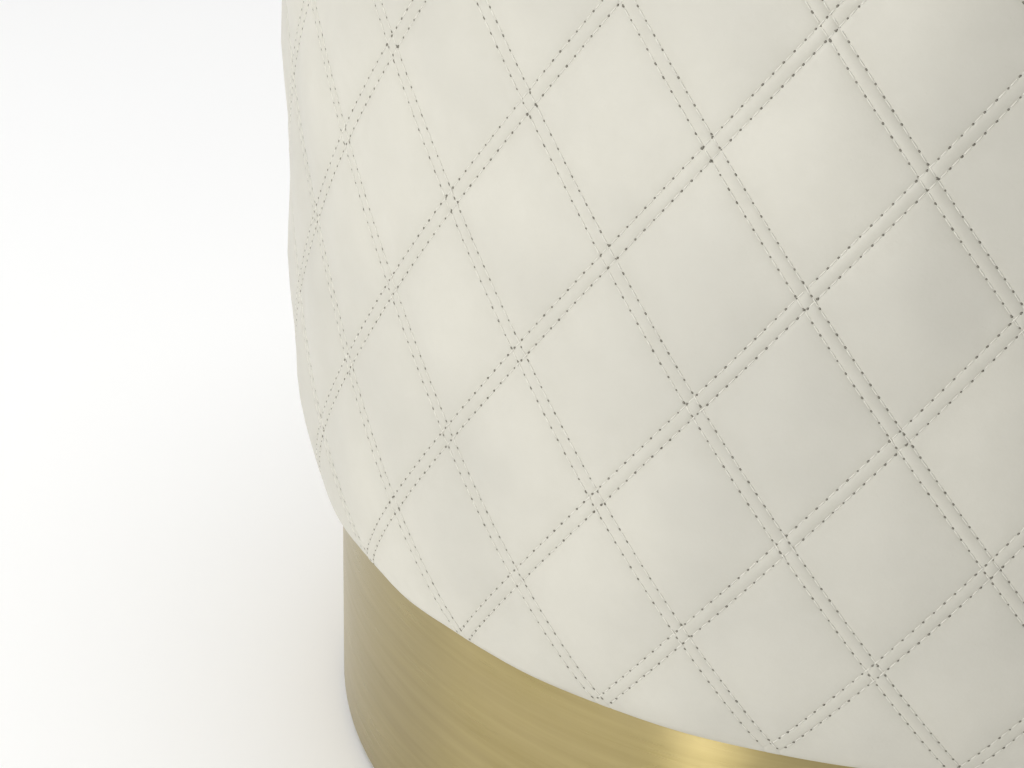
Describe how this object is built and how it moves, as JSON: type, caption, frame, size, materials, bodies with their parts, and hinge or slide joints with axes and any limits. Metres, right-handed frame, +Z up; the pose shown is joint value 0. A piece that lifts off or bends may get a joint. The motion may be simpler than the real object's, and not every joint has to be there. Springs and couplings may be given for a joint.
{
  "type": "quilted leather pouf",
  "caption": "Round drum pouf in diamond-quilted cream leather with a piped, crowned top, standing on a tall brushed brass plinth band.",
  "frame": {"origin": "on the floor, at the middle of the drum", "axes": "+Z up along the drum's axis; the brass band's closing seam and the leather's closing seam face +Y, the back"},
  "size_m": [0.45, 0.45, 0.45],
  "materials": {
    "leather": "satin",
    "leather_piping": "satin",
    "thread": "satin",
    "brass_band": "satin",
    "brass_screw": "satin",
    "plywood": "matte",
    "pine": "matte",
    "foam": "matte",
    "wadding": "matte",
    "non_woven": "matte",
    "nylon": "matte",
    "zinc_steel": "satin"
  },
  "bodies": {
    "root": {"plinth_band": "brass_band", "plinth_bottom_board": "plywood", "plinth_top_board": "plywood", "plinth_block_1": "pine", "plinth_block_2": "pine", "plinth_block_3": "pine", "plinth_block_4": "pine", "plinth_block_5": "pine", "plinth_block_6": "pine", "glide_1": "nylon", "glide_2": "nylon", "glide_3": "nylon", "glide_4": "nylon", "glide_5": "nylon", "glide_6": "nylon", "glide_screw_1": "zinc_steel", "glide_screw_2": "zinc_steel", "glide_screw_3": "zinc_steel", "glide_screw_4": "zinc_steel", "glide_screw_5": "zinc_steel", "glide_screw_6": "zinc_steel", "band_screw_1": "brass_screw", "band_screw_2": "brass_screw", "band_screw_3": "brass_screw", "band_screw_4": "brass_screw", "band_screw_5": "brass_screw", "band_screw_6": "brass_screw", "body_bolt_1": "zinc_steel", "body_bolt_2": "zinc_steel", "body_bolt_3": "zinc_steel", "body_bolt_4": "zinc_steel", "bolt_washer_1": "zinc_steel", "bolt_washer_2": "zinc_steel", "bolt_washer_3": "zinc_steel", "bolt_washer_4": "zinc_steel", "tee_nut_1": "zinc_steel", "tee_nut_2": "zinc_steel", "tee_nut_3": "zinc_steel", "tee_nut_4": "zinc_steel", "frame_bottom_board": "plywood", "frame_top_board": "plywood", "post_1": "pine", "post_2": "pine", "post_3": "pine", "post_4": "pine", "post_5": "pine", "post_6": "pine", "barrel_skin": "plywood", "side_foam": "foam", "side_wadding": "wadding", "side_cover": "leather", "top_foam": "foam", "top_wadding": "wadding", "top_cover": "leather", "welt_cord": "leather_piping", "dust_cover": "non_woven"}
  },
  "joints": []
}
